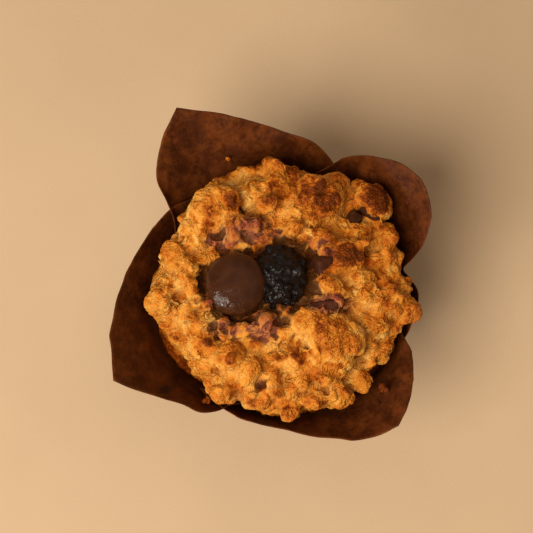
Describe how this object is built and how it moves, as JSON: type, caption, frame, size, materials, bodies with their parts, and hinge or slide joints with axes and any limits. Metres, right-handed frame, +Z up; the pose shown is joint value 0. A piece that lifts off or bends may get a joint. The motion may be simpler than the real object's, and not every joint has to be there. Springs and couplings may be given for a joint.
{
  "type": "muffin",
  "caption": "Crumble-topped muffin with a chocolate button and a bramble berry, baked in a tulip cup folded from square brown paper.",
  "frame": {"origin": "centre of the paper cup's flat foot, on the surface it rests on", "axes": "+Z up; +X across the muffin from the chocolate button to the bramble berry; +Y away from a person looking at the muffin"},
  "size_m": [0.0956, 0.0988, 0.0752],
  "materials": {
    "brown_paper": "greaseproof baking paper, mottled with fat, deep brown",
    "baked_crumble": "dry baked crumble, golden with browner tops",
    "glossy_chocolate": "melted and set chocolate with a soft gloss",
    "bramble_skin": "wet, near-black berry skin",
    "dark_chocolate": "broken dark chocolate, half melted"
  },
  "bodies": {
    "root": {"tulip_wrapper": "brown_paper", "muffin_cake": "baked_crumble", "chocolate_button": "glossy_chocolate", "bramble_berry": "bramble_skin", "chocolate_chunk_1": "dark_chocolate", "chocolate_chunk_2": "dark_chocolate", "chocolate_chunk_3": "dark_chocolate", "chocolate_chunk_4": "dark_chocolate", "loose_crumb_1": "baked_crumble", "loose_crumb_2": "baked_crumble", "loose_crumb_3": "baked_crumble"}
  },
  "joints": []
}
